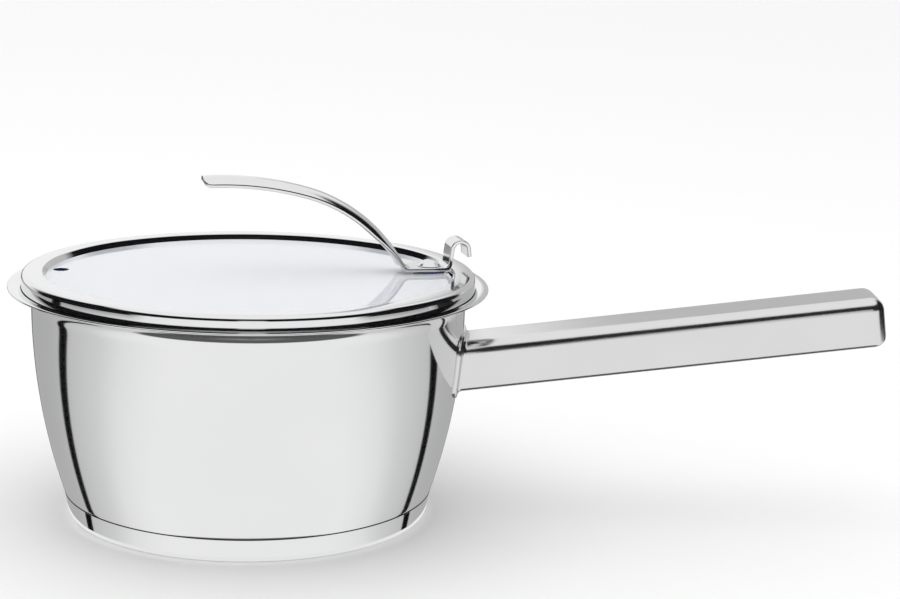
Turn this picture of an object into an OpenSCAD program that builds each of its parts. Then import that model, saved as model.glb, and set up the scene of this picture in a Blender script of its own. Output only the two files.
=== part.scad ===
// Saucepan with a flat glass lid. Millimetres, +Z up.
// The origin is the centre of the base's resting face; the long handle points along +X.

/* [Pan] */
// Outside diameter of the wall where the flare starts
pan_d = 163.6; // [130:0.2:240]
// Height of the lip's top above the resting face
pan_h = 88.6; // [70:0.2:130]
// How far the wall draws in on each side from the flare down to the seam
wall_lean = 11.4; // [5:0.2:14]
// Thickness of the drawn wall
wall_t = 0.8; // [0.6:0.1:1.2]
// Outside bend radius of the flare under the lip
flare_r = 7; // [5.5:0.5:9]
// Width of the flat lip beyond the flare
lip_w = 1.7; // [1:0.1:4]
// Bend radius between the wall and the floor
corner_r = 5; // [3:0.5:8]

/* [Base] */
// Height of the cap's upper edge above the underside of the pan's floor
seam_h = 2.9; // [2.2:0.1:4]
// How far the cap's side draws in towards its foot
cap_lean = 1.3; // [0.4:0.1:2.5]
// Rounding of the cap's lower edge
base_edge_r = 3; // [2:0.5:4]
// Thickness of the base cap
cap_t = 0.6; // [0.4:0.1:1]
// Thickness of the aluminium disc
spreader_t = 6; // [4:0.5:8]

/* [Long handle] */
// Reach of the handle from the pan's wall to its tip
handle_l = 155.4; // [120:0.2:240]
// Width of the handle
handle_w = 27; // [20:0.5:36]
// Depth of the handle's section
handle_h = 18.5; // [16:0.5:26]
// Upward slope of the handle, in degrees
handle_rise = 8; // [0:0.5:15]
// Depth below the lip's top at which the handle's top face would meet the pan's axis
handle_drop = 30.2; // [24:0.2:34]
// Rounding of the handle's upper edges
handle_top_r = 5; // [3:0.5:7]
// Rounding of the handle's lower edges
handle_low_r = 2; // [1.5:0.5:4]
// Sheet thickness of the handle
handle_t = 1; // [0.8:0.1:1.5]
// Reach of the welding flange around the handle's root
flange_w = 2.5; // [1.5:0.5:5]
// Length of the bracket inside the root
bracket_l = 38; // [20:1:60]
// Sheet thickness of the bracket
bracket_t = 1.5; // [1:0.1:2]

/* [Lid] */
// How far the ring's outside lies in from the top of the flare's bend
ring_set = 3.4; // [2.4:0.1:4.2]
// Height of the ring's crest above the lip's top
lid_crest = 4.9; // [4:0.1:6]
// Width of the ring, from its outside to its inner edge
ring_w = 8; // [6.6:0.2:12]
// Sheet thickness of the ring
ring_t = 0.6; // [0.4:0.1:0.8]
// Thickness of the glass
glass_t = 4; // [3:0.2:4.8]
// Diameter of the steam vent
vent_d = 5.6; // [3:0.2:8]
// How far the vent's middle lies in from the ring's inner edge
vent_set = 5.4; // [5.2:0.2:30]
// Angle from the strap handle to the vent, in degrees
vent_angle = 166; // [60:1:300]
// How far the lid is turned on the pan, in degrees
lid_turn = 14.5; // [-180:0.5:180]
// Gap between the seated ring and the lip
seat_gap = 0.3; // [0.1:0.05:0.5]

/* [Strap handle] */
// Thickness of the strap
strap_t = 1.5; // [1.2:0.1:2]
// Width of the strap
strap_w = 12.5; // [10:0.5:16]
// Rise of the strap's crowned section at its middle
crown = 2.6; // [1:0.2:3]
// Height of the arch's top above the lid's crest
arch_h = 36; // [30:1:50]
// How far the arch's top lies beyond the lid's centre
apex_past = 12; // [0:1:20]
// Length of the strap beyond the arch's top
tip_l = 6.5; // [3:0.5:12]
// Rounding of the two corners at the strap's tip
tip_r = 3; // [2:0.5:5]
// Sweep of the upper bend, in degrees
arch_sweep = 16; // [12:1:19]
// Sweep of the lower bend, in degrees
drop_sweep = 45; // [40:1:52]
// Length of the flat foot from the knee to the screw
foot_l = 8.2; // [7:0.2:14]
// Width of the hook
hook_w = 11; // [8:0.5:12]
// Height of the hook above the strap's flat foot
hook_h = 11.5; // [9:0.5:16]
// Outside radius of the hook's curl
hook_r = 4; // [3.4:0.1:5]

/* [Screw] */
// Thread diameter of the lid screw
screw_d = 5; // [4:0.5:6]
// Diameter of the screw's domed head
head_d = 9.5; // [8:0.5:11.5]
// Height of the screw's head
head_h = 2.4; // [2:0.1:3]
// Radial clearance of the screw in its holes
hole_gap = 0.4; // [0.2:0.1:0.8]
// Diameter of the soft washers against the glass
pad_d = 12; // [10:0.5:14.5]
// Thickness of each soft washer
pad_t = 0.8; // [0.5:0.1:1.5]

/* [Hidden] */
$fn = 96;
big = 400;
steel = "#c9cbce";

// The wall is an arc that stands upright where the flare starts
wall_r = pan_d / 2;
wall_z = pan_h - wall_t - flare_r;
floor_z = cap_t + spreader_t;
base_h = floor_z + seam_h;
rise = wall_z - base_h;
arc_r = (rise * rise + wall_lean * wall_lean) / (2 * wall_lean);
arc_x = wall_r - arc_r;
corner_z = floor_z + corner_r;
corner_x = arc_x + sqrt(pow(arc_r - corner_r, 2) - pow(wall_z - corner_z, 2));
flare_x = wall_r + flare_r;
lip_end = flare_x + lip_w - wall_t / 2;

// The cap's upper edge stands a little proud of the pan's corner
cap_proud = 0.06;
below_corner = max(corner_z - base_h, 0);
seam_r = corner_x + sqrt(pow(corner_r, 2) - pow(below_corner, 2)) + cap_proud;
cap_r = seam_r - cap_lean;
spreader_clear = 1.2;

// The long handle's line
handle_z = pan_h - handle_drop;
handle_reach = wall_r + handle_l;
plate_clear = 0.5;

// Heights through the lid
crest_z = pan_h + lid_crest;
ring_ro = flare_x - ring_set;
ring_ri = ring_ro - ring_w;
inner_drop = 2.2;
inner_lean = 1;
glass_top = crest_z - inner_drop;
glass_low = glass_top - glass_t;
seal_t = 0.5;
shoulder_r = 2;
ring_low = glass_low - seal_t - ring_t;
skirt_h = 4;
skirt_gap = 1.2;
skirt_ro = wall_r - wall_t - skirt_gap;
flange_in = 0.3;
lower_ri = skirt_ro - ring_t - flange_in;
seal_set = 0.9;
upper_ri = ring_ri + ring_t + seal_set;
seat_r = flare_r + wall_t + seat_gap;
glass_gap = 0.2;
seal_ro = flare_x - sqrt(pow(seat_r + ring_t, 2) - pow(ring_low + ring_t - wall_z, 2)) - glass_gap;
glass_r = seal_ro - seal_t;
vent_r = ring_ri - vent_set;

// Strap and screw stack. The hook's bend clears the ring's crest, and the screw clears both bend and ring
foot_low = glass_top + pad_t;
foot_top = foot_low + strap_t;
hole_r = screw_d / 2 + hole_gap;
hook_bend = 1.5;
hook_clear = 0.2;
bend_x = ring_ri - sqrt(pow(hook_bend + strap_t + hook_clear, 2) - pow(foot_top + hook_bend - crest_z, 2));
head_clear = 0.25;
pad_clear = 0.3;
screw_at = min(bend_x - head_d / 2 - head_clear, ring_ri - inner_lean - pad_d / 2 - pad_clear);

// The arch: its top lies apex_past beyond the centre, and its two bends meet the knee above the foot
knee_r = 2.5;
knee_x = screw_at - foot_l;
apex_z = crest_z + arch_h;
drop_from = 90 - arch_sweep;
drop_to = drop_from - drop_sweep;
drop_z = foot_top + knee_r * (1 - sin(drop_to));
steep = (cos(drop_to) - cos(drop_from)) / (sin(drop_from) - sin(drop_to));
arch_r = (knee_x + apex_past - knee_r * cos(drop_to) - steep * (apex_z - drop_z))
         / (cos(drop_from) - steep * (1 - sin(drop_from)));
arch_cz = apex_z - arch_r;
drop_r = (arch_cz + arch_r * sin(drop_from) - drop_z) / (sin(drop_from) - sin(drop_to));
drop_cx = -apex_past + (arch_r - drop_r) * cos(drop_from);
drop_cz = arch_cz + (arch_r - drop_r) * sin(drop_from);
hook_lean = 8;
tail_tilt = 14;
tail_l = 3;
washer_d = 10;
washer_t = 1;
nut_d = 8.5;
nut_h = 5;
nut_end = 1.5;
nut_round = 0.4;
nut_top = glass_low - pad_t - washer_t;
thread_gap = 0.05;

// ---- shared outlines ----

// The pan's solid of revolution, drawn in by o from the outside
module pan_outline(o) {
    intersection() {
        translate([arc_x, wall_z]) circle(r = arc_r - o, $fn = 360);
        translate([0, corner_z]) square([big, wall_z - corner_z]);
    }
    translate([corner_x, corner_z]) circle(r = corner_r - o);
    translate([0, floor_z + o]) square([corner_x, corner_z - floor_z - o + 0.01]);
    translate([0, corner_z - 0.01]) square([corner_x, 0.02]);
}

// The base cap's outline, drawn in by o
module cap_outline(o) {
    slope = cap_lean / (base_h - base_edge_r);
    edge_x = cap_r - base_edge_r;
    translate([edge_x, base_edge_r]) circle(r = base_edge_r - o);
    translate([0, o]) square([edge_x, base_edge_r]);
    polygon([[0, base_edge_r], [edge_x + base_edge_r - o, base_edge_r],
             [edge_x + base_edge_r - o + slope * (base_h - base_edge_r), base_h], [0, base_h]]);
}

module revolve() { rotate_extrude($fn = 180) children(); }

// A rectangle with separate roundings above and below, hung under its top middle
module handle_section(o) {
    w = handle_w / 2 - o;
    rt = handle_top_r - o;
    rl = handle_low_r - o;
    for (s = [-1, 1]) {
        translate([s * (w - rt), -o - rt]) circle(r = rt);
        translate([s * (w - rl), -handle_h + o + rl]) circle(r = rl);
    }
    translate([-w, -handle_h + o + rl]) square([2 * w, handle_h - 2 * o - rt - rl]);
    translate([-(w - rt), -handle_h / 2]) square([2 * (w - rt), handle_h / 2 - o]);
    translate([-(w - rl), -handle_h + o]) square([2 * (w - rl), handle_h / 2]);
}

// Puts children into the handle's own frame, sloping up along +X
module along_handle() { translate([0, 0, handle_z]) rotate([0, -handle_rise, 0]) children(); }

handle_len = handle_reach / cos(handle_rise) + handle_h / 2 * sin(handle_rise);

// The handle's solid bar from the pan's axis to its rounded end, drawn in by o
module handle_bar(o) {
    end = handle_len - o;
    end_r = handle_top_r - o;
    intersection() {
        rotate([90, 0, 90]) linear_extrude(end) handle_section(o);
        // rounded in plan
        translate([0, 0, -handle_h]) linear_extrude(handle_h) {
            translate([0, -handle_w / 2]) square([end - end_r, handle_w]);
            translate([0, -handle_w / 2 + handle_top_r]) square([end, handle_w - 2 * handle_top_r]);
            for (s = [-1, 1]) translate([end - end_r, s * (handle_w / 2 - handle_top_r)]) circle(r = end_r);
        }
        // rounded in side view
        translate([0, handle_w / 2, 0]) rotate([90, 0, 0]) linear_extrude(handle_w) {
            translate([0, -handle_h]) square([end - end_r, handle_h]);
            translate([0, -handle_h + handle_top_r]) square([end, handle_h - 2 * handle_top_r]);
            for (z = [-handle_top_r, -handle_h + handle_top_r]) translate([end - end_r, z]) circle(r = end_r);
        }
    }
}

// The pan's outside as one full solid, grown by o
module pan_solid(o = 0) { revolve() pan_outline(-o); }

// ---- pan ----

module pan_body() {
    color(steel) rotate_extrude($fn = 180) {
        difference() {
            pan_outline(0);
            pan_outline(wall_t);
        }
        intersection() {
            difference() {
                translate([flare_x, wall_z]) circle(r = flare_r + wall_t);
                translate([flare_x, wall_z]) circle(r = flare_r);
            }
            translate([flare_x - flare_r - wall_t, wall_z]) square(flare_r + wall_t);
        }
        translate([flare_x, wall_z + flare_r]) square([lip_end - flare_x, wall_t]);
        translate([lip_end, pan_h - wall_t / 2]) circle(r = wall_t / 2);
    }
}

module heat_spreader() {
    color("#b9bbbd") difference() {
        revolve() intersection() {
            cap_outline(cap_t);
            square([big, base_h - spreader_clear]);
        }
        pan_solid();
    }
}

module base_cap() {
    color("#d2d4d6") difference() {
        revolve() difference() {
            cap_outline(0);
            cap_outline(cap_t);
        }
        pan_solid();
    }
}

// ---- long handle ----

module underside_plate() {
    plate_w = handle_w - 2 * (handle_low_r + plate_clear);
    translate([0, -plate_w / 2, -handle_h]) cube([handle_len - 2 * handle_top_r, plate_w, handle_t]);
}

module handle_shell() {
    color(steel) difference() {
        union() {
            along_handle() handle_bar(0);
            intersection() {
                pan_solid(handle_t);
                along_handle() translate([0, -handle_w / 2 - flange_w, -handle_h - flange_w])
                    cube([handle_len / 2, handle_w + 2 * flange_w, handle_h + 2 * flange_w]);
            }
        }
        along_handle() handle_bar(handle_t);
        along_handle() underside_plate();
        pan_solid();
    }
}

module handle_underside() {
    color(steel) difference() {
        along_handle() underside_plate();
        pan_solid();
    }
}

module handle_bracket() {
    w = handle_w / 2 - handle_t;
    chamfer = handle_top_r;
    leg_low = -handle_h + handle_t + handle_low_r;
    color("#a9abad") difference() {
        intersection() {
            union() {
                along_handle() rotate([90, 0, 90]) linear_extrude(handle_len / 2) difference() {
                    polygon([[-w, leg_low], [w, leg_low], [w, -handle_t - chamfer], [w - chamfer, -handle_t],
                             [chamfer - w, -handle_t], [-w, -handle_t - chamfer]]);
                    polygon([[bracket_t - w, leg_low - 1], [w - bracket_t, leg_low - 1],
                             [w - bracket_t, -handle_t - chamfer - bracket_t / 2],
                             [w - chamfer - bracket_t / 2, -handle_t - bracket_t],
                             [chamfer + bracket_t / 2 - w, -handle_t - bracket_t],
                             [bracket_t - w, -handle_t - chamfer - bracket_t / 2]]);
                }
                intersection() {
                    pan_solid(bracket_t);
                    along_handle() rotate([90, 0, 90]) linear_extrude(handle_len / 2)
                        polygon([[-w, leg_low], [w, leg_low], [w, -handle_t - chamfer], [w - chamfer, -handle_t],
                                 [chamfer - w, -handle_t], [-w, -handle_t - chamfer]]);
                }
            }
            along_handle() translate([0, -handle_w, -2 * handle_h])
                cube([wall_r + bracket_l, 2 * handle_w, 3 * handle_h]);
        }
        pan_solid();
    }
}

// ---- lid ----

// Turns children to where the lid sits on the pan
module on_lid() { rotate([0, 0, lid_turn]) children(); }

// A round hole through the lid's stack at distance x and angle a
module lid_hole(x, r, a = 0) {
    rotate([0, 0, a]) translate([x, 0, 0]) cylinder(h = big, r = r);
}

// The ring as if it were solid all through, drawn in by o
module ring_solid(o) {
    foot_r = ring_ri - inner_lean + o;
    difference() {
        union() {
            revolve() polygon([[foot_r, ring_low + o], [foot_r, glass_top], [ring_ri + o, crest_z - o],
                               [ring_ro - shoulder_r, crest_z - o], [ring_ro - shoulder_r, ring_low + o]]);
            revolve() translate([ring_ri + shoulder_r, ring_low + o])
                square([ring_w - shoulder_r - o, crest_z - shoulder_r - ring_low - o]);
            revolve() translate([ring_ro - shoulder_r, crest_z - shoulder_r]) circle(r = shoulder_r - o);
        }
        revolve() translate([flare_x, wall_z]) circle(r = seat_r + o);
    }
}

module lid_glass() {
    color("#dfe6ee", 0.5) on_lid() difference() {
        translate([0, 0, glass_low]) cylinder(h = glass_t, r = glass_r, $fn = 180);
        lid_hole(screw_at, hole_r);
        lid_hole(vent_r, vent_d / 2, vent_angle);
    }
}

module lid_ring() {
    color(steel) on_lid() difference() {
        union() {
            ring_solid(0);
            revolve() translate([skirt_ro - ring_t, ring_low - skirt_h]) square([ring_t, skirt_h + ring_t / 2]);
        }
        ring_solid(ring_t);
        translate([0, 0, ring_low - 1]) cylinder(h = glass_top - ring_low + 1, r = lower_ri, $fn = 180);
    }
}

module glass_seal() {
    color("#b8bcc0") on_lid() rotate_extrude($fn = 180)
        polygon([[lower_ri, glass_low - seal_t], [seal_ro, glass_low - seal_t], [seal_ro, crest_z - ring_t],
                 [upper_ri, crest_z - ring_t], [upper_ri, glass_top], [glass_r, glass_top],
                 [glass_r, glass_low], [lower_ri, glass_low]]);
}

// ---- strap handle ----

// A station is [x, z, nx, nz, half width, crown]: a point on the strap's top line and its normal there
function even(n) = [for (i = [1:n]) i / n];
function blend(a, b, t) = a + (b - a) * t * t * (3 - 2 * t);

// Stations round a bend of radius r about (x, z). side is 1 where the strap's top faces outwards
function round_bend(x, z, r, a0, a1, side, n, h0, h1, c0, c1) = [
    for (t = even(n)) let (a = a0 + (a1 - a0) * t)
        [x + r * cos(a), z + r * sin(a), side * cos(a), side * sin(a), blend(h0, h1, t), blend(c0, c1, t)]
];

half_w = strap_w / 2;
half_hook = hook_w / 2;
tip_angle = 90 + asin(tip_l / arch_r);
per_mm = 180 / (PI * arch_r);
fade_from = drop_to + 18;
leg_dir = [sin(hook_lean), cos(hook_lean)];
leg_foot = [bend_x, foot_top + hook_bend] + hook_bend * [cos(hook_lean), -sin(hook_lean)];
curl_at = leg_foot + (hook_h - hook_r - hook_bend) * leg_dir + hook_r * [cos(hook_lean), -sin(hook_lean)];
curl_end = tail_tilt - hook_lean;
tail_top = curl_at + hook_r * [cos(curl_end), sin(curl_end)];

// The rounded tip, the two bends of the arch, the knee, the foot and the hook
tip_path = [for (f = [0, 22, 45, 67]) let (a = tip_angle - per_mm * tip_r * (1 - cos(f)))
    [-apex_past + arch_r * cos(a), arch_cz + arch_r * sin(a), cos(a), sin(a), half_w - tip_r * (1 - sin(f)), crown]];
round_to = tip_angle - per_mm * tip_r;
arch_path = concat(
    round_bend(-apex_past, arch_cz, arch_r, round_to + 0.01, drop_from, 1, 8, half_w, half_w, crown, crown),
    round_bend(drop_cx, drop_cz, drop_r, drop_from, fade_from, 1, 7, half_w, half_w, crown, crown),
    round_bend(drop_cx, drop_cz, drop_r, fade_from, drop_to, 1, 5, half_w, half_w, crown, 0.3 * crown),
    round_bend(knee_x, foot_top + knee_r, knee_r, 180 + drop_to, 270, -1, 5, half_w, half_w, 0.3 * crown, 0));
foot_path = [for (t = even(6)) let (x = knee_x + (bend_x - knee_x) * t)
    [x, foot_top, 0, 1, x < screw_at ? half_w : blend(half_w, half_hook, (x - screw_at) / (bend_x - screw_at)), 0]];
hook_path = concat(
    round_bend(bend_x, foot_top + hook_bend, hook_bend, 270, 360 - hook_lean, -1, 5, half_hook, half_hook, 0, 0),
    round_bend(curl_at[0], curl_at[1], hook_r, 180 - hook_lean + 0.01, curl_end, 1, 12,
               half_hook, half_hook, 0, 0),
    [[tail_top[0] + tail_l * sin(curl_end), tail_top[1] - tail_l * cos(curl_end),
      cos(curl_end), sin(curl_end), half_hook, 0]]);

across = 6;

// One closed ring of points round the strap's section at station s
function strap_ring(s) = let (
        top = [for (j = [0:across]) let (y = s[4] * (2 * j / across - 1), d = s[5] * pow(y / half_w, 2))
            [s[0] - d * s[2], y, s[1] - d * s[3]]])
    concat(top, [for (j = [across:-1:0]) top[j] - strap_t * [s[2], 0, s[3]]]);

// A closed skin over rings of equal length
module skin(rings) {
    m = len(rings[0]);
    last = m * (len(rings) - 1);
    polyhedron(
        points = [for (ring = rings) for (p = ring) p],
        faces = concat(
            [for (i = [0:len(rings) - 2]) for (j = [0:m - 1]) let (k = (j + 1) % m)
                for (f = [[i * m + j, (i + 1) * m + j, (i + 1) * m + k], [i * m + j, (i + 1) * m + k, i * m + k]]) f],
            [for (j = [1:across]) for (f = [[j - 1, j, m - 1 - j], [j - 1, m - 1 - j, m - j]]) f],
            [for (j = [1:across]) for (f = [[j, j - 1, m - 1 - j], [m - 1 - j, j - 1, m - j]])
                [for (v = f) last + v]]));
}

module strap_handle() {
    color(steel) on_lid() difference() {
        skin([for (s = concat(tip_path, arch_path, foot_path, hook_path)) strap_ring(s)]);
        translate([screw_at, 0, foot_low - 1]) cylinder(h = strap_t + 2, r = hole_r);
    }
}

// ---- screw and washers ----

// A washer of outside radius r and thickness t with its underside at z
module washer(z, r, t) {
    on_lid() translate([screw_at, 0, z]) difference() {
        cylinder(h = t, r = r);
        translate([0, 0, -1]) cylinder(h = t + 2, r = hole_r);
    }
}

module strap_pad() { color("#3a4a66") washer(glass_top, pad_d / 2, pad_t); }
module glass_pad() { color("#3a4a66") washer(glass_low - pad_t, pad_d / 2, pad_t); }
module steel_washer() { color("#b5b8bb") washer(glass_low - pad_t - washer_t, washer_d / 2, washer_t); }

module lid_screw() {
    dome_r = (pow(head_d / 2, 2) + head_h * head_h) / (2 * head_h);
    shank_low = nut_top - nut_h + nut_end;
    color(steel) on_lid() translate([screw_at, 0, 0]) {
        intersection() {
            translate([0, 0, foot_top + head_h - dome_r]) sphere(r = dome_r);
            translate([0, 0, foot_top]) cylinder(h = head_h + 1, r = head_d / 2);
        }
        translate([0, 0, shank_low]) cylinder(h = foot_top - shank_low + 0.1, r = screw_d / 2);
    }
}

module cap_nut() {
    color("#c2c5c8") on_lid() translate([screw_at, 0, nut_top - nut_h]) difference() {
        intersection() {
            cylinder(h = nut_h, r = nut_d / 2 / cos(30), $fn = 6);
            translate([0, 0, nut_d / 2 + nut_round]) sphere(r = nut_d / 2 + nut_round);
            cylinder(h = nut_h, r = nut_d / 2 + nut_round);
        }
        translate([0, 0, nut_end - thread_gap]) cylinder(h = nut_h, r = screw_d / 2 + thread_gap);
    }
}

pan_body();
heat_spreader();
base_cap();
handle_shell();
handle_underside();
handle_bracket();
lid_glass();
lid_ring();
glass_seal();
strap_handle();
strap_pad();
glass_pad();
steel_washer();
lid_screw();
cap_nut();
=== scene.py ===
"""Finished meshes, materials and studio for a saucepan with a flat glass lid, round its packed frame."""

import math

import bmesh
import bpy
from bpy.props import FloatProperty, FloatVectorProperty, IntProperty, PointerProperty
from mathutils import Matrix, Vector


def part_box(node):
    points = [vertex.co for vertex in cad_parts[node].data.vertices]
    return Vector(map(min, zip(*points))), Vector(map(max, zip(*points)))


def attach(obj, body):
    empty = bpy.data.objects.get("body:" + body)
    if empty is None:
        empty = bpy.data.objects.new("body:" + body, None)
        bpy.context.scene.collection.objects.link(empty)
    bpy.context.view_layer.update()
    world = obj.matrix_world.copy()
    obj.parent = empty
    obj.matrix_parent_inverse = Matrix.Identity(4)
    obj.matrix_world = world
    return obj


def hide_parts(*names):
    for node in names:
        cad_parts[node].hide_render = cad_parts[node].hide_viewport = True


bl_info = {
    "name": "Saucepan Studio",
    "version": (1, 0, 0),
    "blender": (4, 5, 0),
    "location": "View3D > Sidebar > Saucepan",
    "description": "Makes the polished saucepan, its glass lid and the studio round them",
    "category": "Object",
}

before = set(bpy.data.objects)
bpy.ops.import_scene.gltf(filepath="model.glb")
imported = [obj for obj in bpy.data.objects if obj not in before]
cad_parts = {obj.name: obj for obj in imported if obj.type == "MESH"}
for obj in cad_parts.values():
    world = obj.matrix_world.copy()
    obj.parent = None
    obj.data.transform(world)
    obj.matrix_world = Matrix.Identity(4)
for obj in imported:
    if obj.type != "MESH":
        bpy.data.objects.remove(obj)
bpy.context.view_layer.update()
MM = 0.001


def box_of(node):
    """A node's lowest and highest corner as vectors."""
    low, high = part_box(node)
    return Vector(low), Vector(high)


PAN_LOW, PAN_HIGH = box_of("pan_body")
CAP_HIGH = box_of("base_cap")[1]
RING_LOW, RING_HIGH = box_of("lid_ring")
GLASS_LOW, GLASS_HIGH = box_of("lid_glass")
SCREW_LOW, SCREW_HIGH = box_of("lid_screw")
PAD_HIGH = box_of("strap_pad")[1]
SCREW_AT = (SCREW_LOW + SCREW_HIGH) / 2
LID_TURN = math.atan2(SCREW_AT.y, SCREW_AT.x)
SCREW_OUT = math.hypot(SCREW_AT.x, SCREW_AT.y)


# ---------------------------------------------------------------- settings


def length(name, description, default):
    return FloatProperty(name=name, description=description, default=default, unit="LENGTH", precision=5)


def angle(name, description, degrees):
    return FloatProperty(name=name, description=description, default=math.radians(degrees), subtype="ANGLE")


def colour(name, description, default):
    return FloatVectorProperty(name=name, description=description, default=default, size=3, subtype="COLOR",
                               min=0, max=1)


def factor(name, description, default):
    return FloatProperty(name=name, description=description, default=default, subtype="FACTOR", min=0, max=1)


class PanSettings(bpy.types.PropertyGroup):
    """Sizes of the pan's drawn body and base cap"""
    wall: length("Wall", "Thickness of the drawn wall", 0.8 * MM)
    flare: length("Flare radius", "Outside bend radius under the lip", 7 * MM)
    corner: length("Corner radius", "Bend radius between wall and floor", 5 * MM)
    upper: length("Upper radius", "Outside radius of the wall where the flare starts", 81.8 * MM)
    foot: length("Foot radius", "Outside radius of the wall at the seam", 70.4 * MM)
    cap: length("Cap thickness", "Thickness of the base cap", 0.6 * MM)
    cap_foot: length("Cap foot radius", "Radius of the base cap low down", 69.1 * MM)
    cap_edge: length("Cap edge", "Rounding of the cap's lower edge", 3 * MM)
    segments: IntProperty(name="Segments", description="Steps round the pan's axis", default=288, min=32)


class HandleSettings(bpy.types.PropertyGroup):
    """Sizes of the long handle"""
    width: length("Width", "Width of the handle", 27 * MM)
    depth: length("Depth", "Depth of the handle's section", 18.5 * MM)
    rise: angle("Rise", "Upward slope of the handle", 8)
    height: length("Height", "Where the top face would meet the pan's axis", 58.4 * MM)
    reach: length("Reach", "Distance from the pan's axis to the tip", 237.2 * MM)
    top_round: length("Top rounding", "Rounding of the upper edges", 5 * MM)
    low_round: length("Lower rounding", "Rounding of the lower edges", 2 * MM)
    sheet: length("Sheet", "Thickness of the handle's sheet", 1 * MM)
    flange: length("Flange", "Reach of the weld flange round the root", 2.5 * MM)
    seam: length("Seam", "Gap round the closing plate", 0.15 * MM)
    plate_gap: length("Plate gap", "From the closing plate to the lower rounding", 0.5 * MM)


class LidSettings(bpy.types.PropertyGroup):
    """Sizes of the lid's ring and glass"""
    width: length("Ring width", "From the ring's outside to its inner edge", 8 * MM)
    sheet: length("Ring sheet", "Thickness of the ring's sheet", 0.6 * MM)
    shoulder: length("Shoulder", "Rounding of the ring's upper outer edge", 2 * MM)
    lean: length("Lean", "How far the inner wall leans in", 1 * MM)
    seat_gap: length("Seat gap", "Gap between ring and lip", 0.3 * MM)
    skirt: length("Skirt", "Depth of the locating skirt", 4 * MM)
    skirt_gap: length("Skirt gap", "Gap between the locating skirt and the pan's wall", 1.2 * MM)
    seal_in: length("Seal inner edge", "How far the seal reaches in past the skirt", 0.3 * MM)
    seal_set: length("Seal set", "From the ring's inner wall to the seal", 0.9 * MM)
    vent: length("Vent", "Radius of the steam vent", 2.8 * MM)
    vent_at: length("Vent distance", "Vent's distance from the lid's centre", 72 * MM)
    vent_angle: angle("Vent angle", "From the strap to the vent", 166)
    hole: length("Screw hole", "Radius of the screw hole", 2.9 * MM)
    shank: length("Screw shank", "Radius of the screw's shank", 2.5 * MM)


class StrapSettings(bpy.types.PropertyGroup):
    """Sizes of the strap handle and its hook"""
    sheet: length("Sheet", "Thickness of the strap", 1.5 * MM)
    width: length("Width", "Width of the strap", 12.5 * MM)
    crown: length("Crown", "Rise of the section's middle", 2.6 * MM)
    arch: length("Arch height", "Height of the arch above the lid's crest", 36 * MM)
    tip: length("Tip", "Length beyond the arch's top", 6.5 * MM)
    tip_round: length("Tip rounding", "Rounding of the two corners at the tip", 3 * MM)
    bend: length("Upper bend", "Radius of the upper bend", 122 * MM)
    knee: length("Knee", "Radius of the bend above the foot", 2.5 * MM)
    foot_length: length("Foot", "From the screw to the bend above the foot", 8.2 * MM)
    arch_sweep: angle("Arch sweep", "How far the upper bend turns beyond its top", 16)
    drop_sweep: angle("Drop sweep", "How far the lower bend turns", 45)
    fade_sweep: angle("Fade sweep", "How far before the knee the crown starts to fade", 18)
    hook_width: length("Hook width", "Width of the hook", 11 * MM)
    hook_height: length("Hook height", "Height of the hook above the foot", 11.5 * MM)
    hook_round: length("Hook radius", "Outside radius of the hook's curl", 4 * MM)
    hook_bend: length("Hook bend", "Inside radius at the hook's foot", 1.5 * MM)
    hook_clear: length("Hook clearance", "Gap between the hook's bend and the ring's crest", 0.2 * MM)
    tail: length("Tail", "Straight end of the hook", 3 * MM)
    lean: angle("Hook lean", "Outward lean of the hook", 8)
    tail_tilt: angle("Tail tilt", "Where the curl ends", 14)


class FinishSettings(bpy.types.PropertyGroup):
    """Colours and gloss of the finishes"""
    steel: colour("Steel", "Reflection colour of the polished steel", (0.80, 0.80, 0.80))
    steel_shade: colour("Steel shade", "Its slightly duller patches", (0.76, 0.765, 0.775))
    polish: factor("Polish", "Roughness of the mirror polish", 0.05)
    satin: factor("Satin", "Roughness of the handle's satin polish", 0.15)
    handle: colour("Handle steel", "Reflection colour of the long handle", (0.715, 0.715, 0.715))
    strap: colour("Strap steel", "Reflection colour of the strap and screw", (0.77, 0.77, 0.775))
    glass: colour("Glass", "Tint of the lid's glass", (0.92, 0.95, 1.0))
    pad: colour("Washers", "Colour of the soft washers", (0.035, 0.055, 0.12))
    seal: colour("Seal", "Colour of the seal", (0.50, 0.53, 0.56))
    floor: colour("Floor", "Colour of the floor", (0.92, 0.92, 0.92))


class StageSettings(bpy.types.PropertyGroup):
    """Camera and studio"""
    view_azimuth: angle("View azimuth", "Where the camera stands round the pan, from -Y", 6.05)
    distance: length("Distance", "Camera's level distance from the pan's axis", 0.7495)
    height: length("Height", "Camera's height above the floor", 0.2384)
    turn: angle("Turn", "How far the camera looks away from the pan's axis", 5.82)
    pitch: angle("Pitch", "How far the camera looks down", 11.71)
    roll: angle("Roll", "Camera's roll", 1.63)
    lens: FloatProperty(name="Lens", description="Focal length in mm on a 36 mm sensor", default=80.0)
    glow_disc: length("Paper", "Radius of the white disc under the base", 0.0712)
    light: FloatProperty(name="Light", description="Strength of the white light all round", default=1.06)


# ---------------------------------------------------------------- outlines


def arc(x, z, r, start, end, steps):
    """Points along an arc from start to end, in degrees."""
    angles = (math.radians(start + (end - start) * i / steps) for i in range(steps + 1))
    return [(x + r * math.cos(a), z + r * math.sin(a)) for a in angles]


def blend(a, b, t):
    """From a to b as t goes from 0 to 1, level at both ends."""
    return a + (b - a) * t * t * (3 - 2 * t)


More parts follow.
